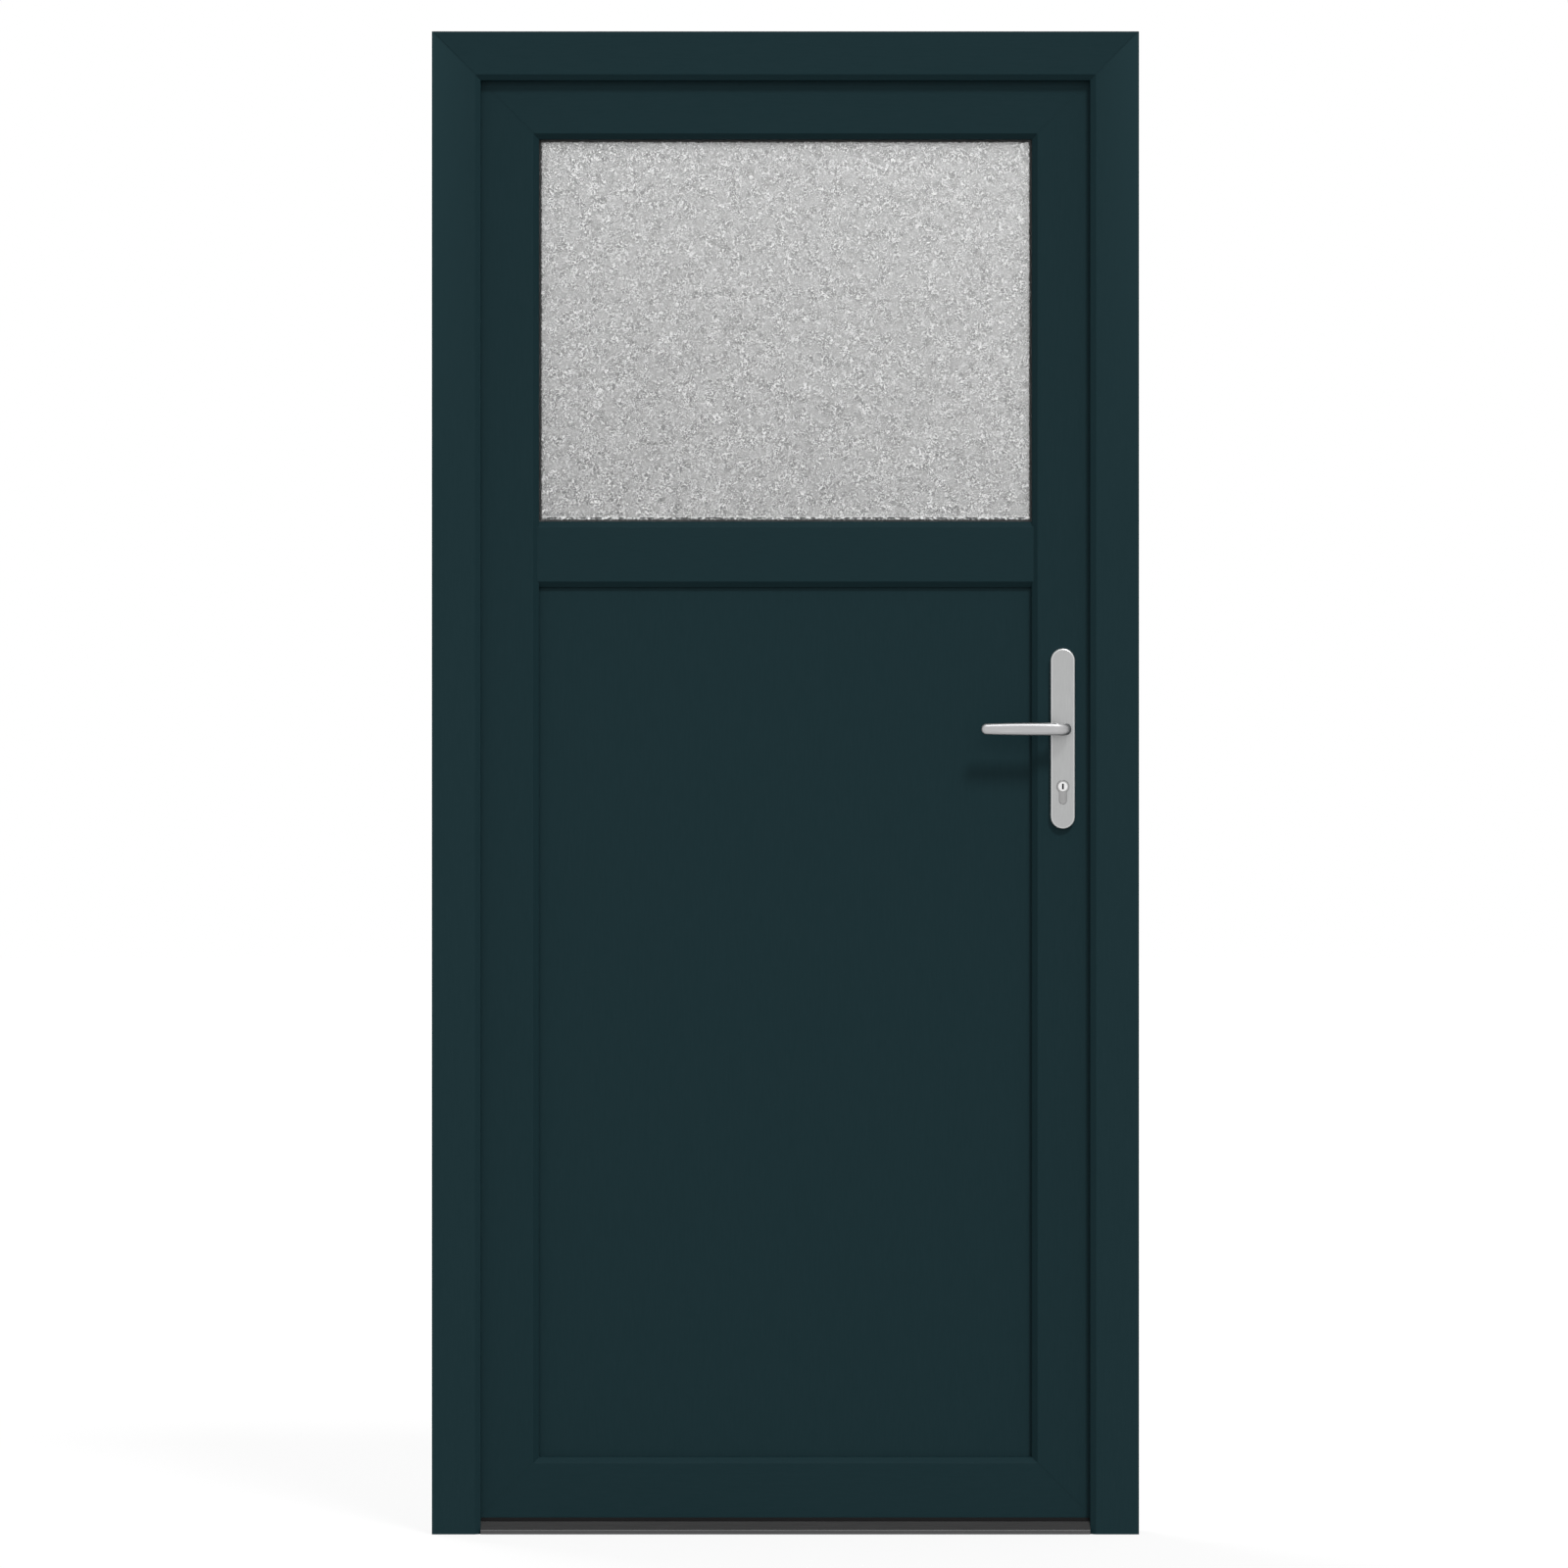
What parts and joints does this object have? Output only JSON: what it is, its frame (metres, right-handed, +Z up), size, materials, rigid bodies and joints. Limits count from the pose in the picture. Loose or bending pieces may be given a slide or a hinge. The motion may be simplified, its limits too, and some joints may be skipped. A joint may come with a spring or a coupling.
{
  "type": "front door with frame",
  "caption": "Single-leaf front door in its frame, inward opening, with a frosted window over a flush panel, lever handles, a cylinder lock, surface hinges and a low threshold.",
  "frame": {"origin": "on the floor under the threshold, at the middle of the frame's width and depth", "axes": "+X across the door towards the lock side seen from outdoors, +Y from outdoors to indoors, +Z up"},
  "size_m": [0.988, 0.168, 2.1],
  "materials": {
    "frame_plastic": "satin anthracite-green plastic profile",
    "sash_plastic": "satin anthracite-green plastic profile",
    "panel_plastic": "satin anthracite-green panel skin",
    "seal_rubber": "matt black rubber",
    "reinforcement_steel": "galvanised",
    "frosted_glass": "granular frosted",
    "spacer_metal": "mill finish",
    "packer_plastic": "moulded",
    "threshold_metal": "grey anodised",
    "threshold_plastic": "dark grey, grooved",
    "handle_metal": "satin silver anodised",
    "hinge_metal": "satin silver lacquer",
    "lock_steel": "zinc plated",
    "bolt_steel": "nickel plated",
    "cylinder_brass": "nickel plated",
    "bush_plastic": "moulded acetal"
  },
  "bodies": {
    "frame": {"frame_hinge_jamb": "frame_plastic", "frame_lock_jamb": "frame_plastic", "frame_head": "frame_plastic", "jamb_steels": "reinforcement_steel", "head_steel": "reinforcement_steel", "threshold_rail": "threshold_metal", "threshold_core": "threshold_plastic", "frame_seal": "seal_rubber", "threshold_seal": "seal_rubber", "lock_keep": "lock_steel", "keep_screws": "bolt_steel", "hinge_frame_leaf_bottom": "hinge_metal", "hinge_frame_leaf_middle": "hinge_metal", "hinge_frame_leaf_top": "hinge_metal", "hinge_pins": "bolt_steel", "hinge_frame_screws": "bolt_steel"},
    "leaf": {"sash_hinge_stile": "sash_plastic", "sash_lock_stile": "sash_plastic", "sash_top_rail": "sash_plastic", "sash_bottom_rail": "sash_plastic", "sash_transom": "sash_plastic", "stile_steels": "reinforcement_steel", "rail_steels": "reinforcement_steel", "transom_steel": "reinforcement_steel", "outer_pane": "frosted_glass", "inner_pane": "frosted_glass", "spacer_bar": "spacer_metal", "lower_panel": "panel_plastic", "glazing_packers": "packer_plastic", "glazing_seals_outer": "seal_rubber", "glazing_seals_inner": "seal_rubber", "glass_side_beads": "sash_plastic", "glass_cross_beads": "sash_plastic", "panel_side_beads": "sash_plastic", "panel_cross_beads": "sash_plastic", "sash_seal": "seal_rubber", "bottom_seal": "seal_rubber", "hinge_sash_leaf_bottom": "hinge_metal", "hinge_sash_leaf_middle": "hinge_metal", "hinge_sash_leaf_top": "hinge_metal", "hinge_bushes": "bush_plastic", "hinge_sash_screws": "bolt_steel", "lock_case": "lock_steel", "lock_faceplate": "lock_steel", "faceplate_screws": "bolt_steel", "cylinder_body": "cylinder_brass", "cylinder_screw": "bolt_steel", "handle_plate_outer": "handle_metal", "handle_plate_inner": "handle_metal", "plate_screws": "bolt_steel", "latch_spring": "lock_steel"},
    "lever": {"lever_outer": "handle_metal", "lever_inner": "handle_metal", "spindle": "lock_steel", "follower": "lock_steel"},
    "latch": {"latch_bolt": "bolt_steel"},
    "bolt": {"dead_bolt": "bolt_steel"},
    "key_outer": {"outer_plug": "cylinder_brass", "cylinder_cam": "lock_steel"},
    "key_inner": {"inner_plug": "cylinder_brass"}
  },
  "joints": [
    {"name": "leaf_swing", "type": "hinge", "parent": "frame", "child": "leaf", "pos_m": [-0.469, 0.049, 0], "axis": [0, 0, 1], "range_deg": [0, 100]},
    {"name": "lever_turn", "type": "hinge", "parent": "leaf", "child": "lever", "pos_m": [0.388, 0, 1.125], "axis": [0, -1, 0], "range_deg": [0, 40], "stiffness_Nm_per_rad": 1, "springref_deg": -57.3},
    {"name": "latch_slide", "type": "slide", "parent": "leaf", "child": "latch", "axis": [-1, 0, 0], "range_m": [0, 0.0106], "deforming": ["latch_spring"]},
    {"name": "outer_key_turn", "type": "hinge", "parent": "leaf", "child": "key_outer", "pos_m": [0.388, 0, 1.045], "axis": [0, 1, 0], "range_deg": [0, 360]},
    {"name": "bolt_slide", "type": "slide", "parent": "leaf", "child": "bolt", "axis": [1, 0, 0], "range_m": [0, 0.018]},
    {"name": "inner_key_turn", "type": "hinge", "parent": "leaf", "child": "key_inner", "pos_m": [0.388, 0, 1.045], "axis": [0, 1, 0], "range_deg": [0, 360]}
  ],
  "couplings": [
    {"joint": "latch_slide", "follows": "lever_turn", "m_per_rad": 0.01504},
    {"joint": "outer_key_turn", "follows": "bolt_slide", "rad_per_m": 349}
  ]
}
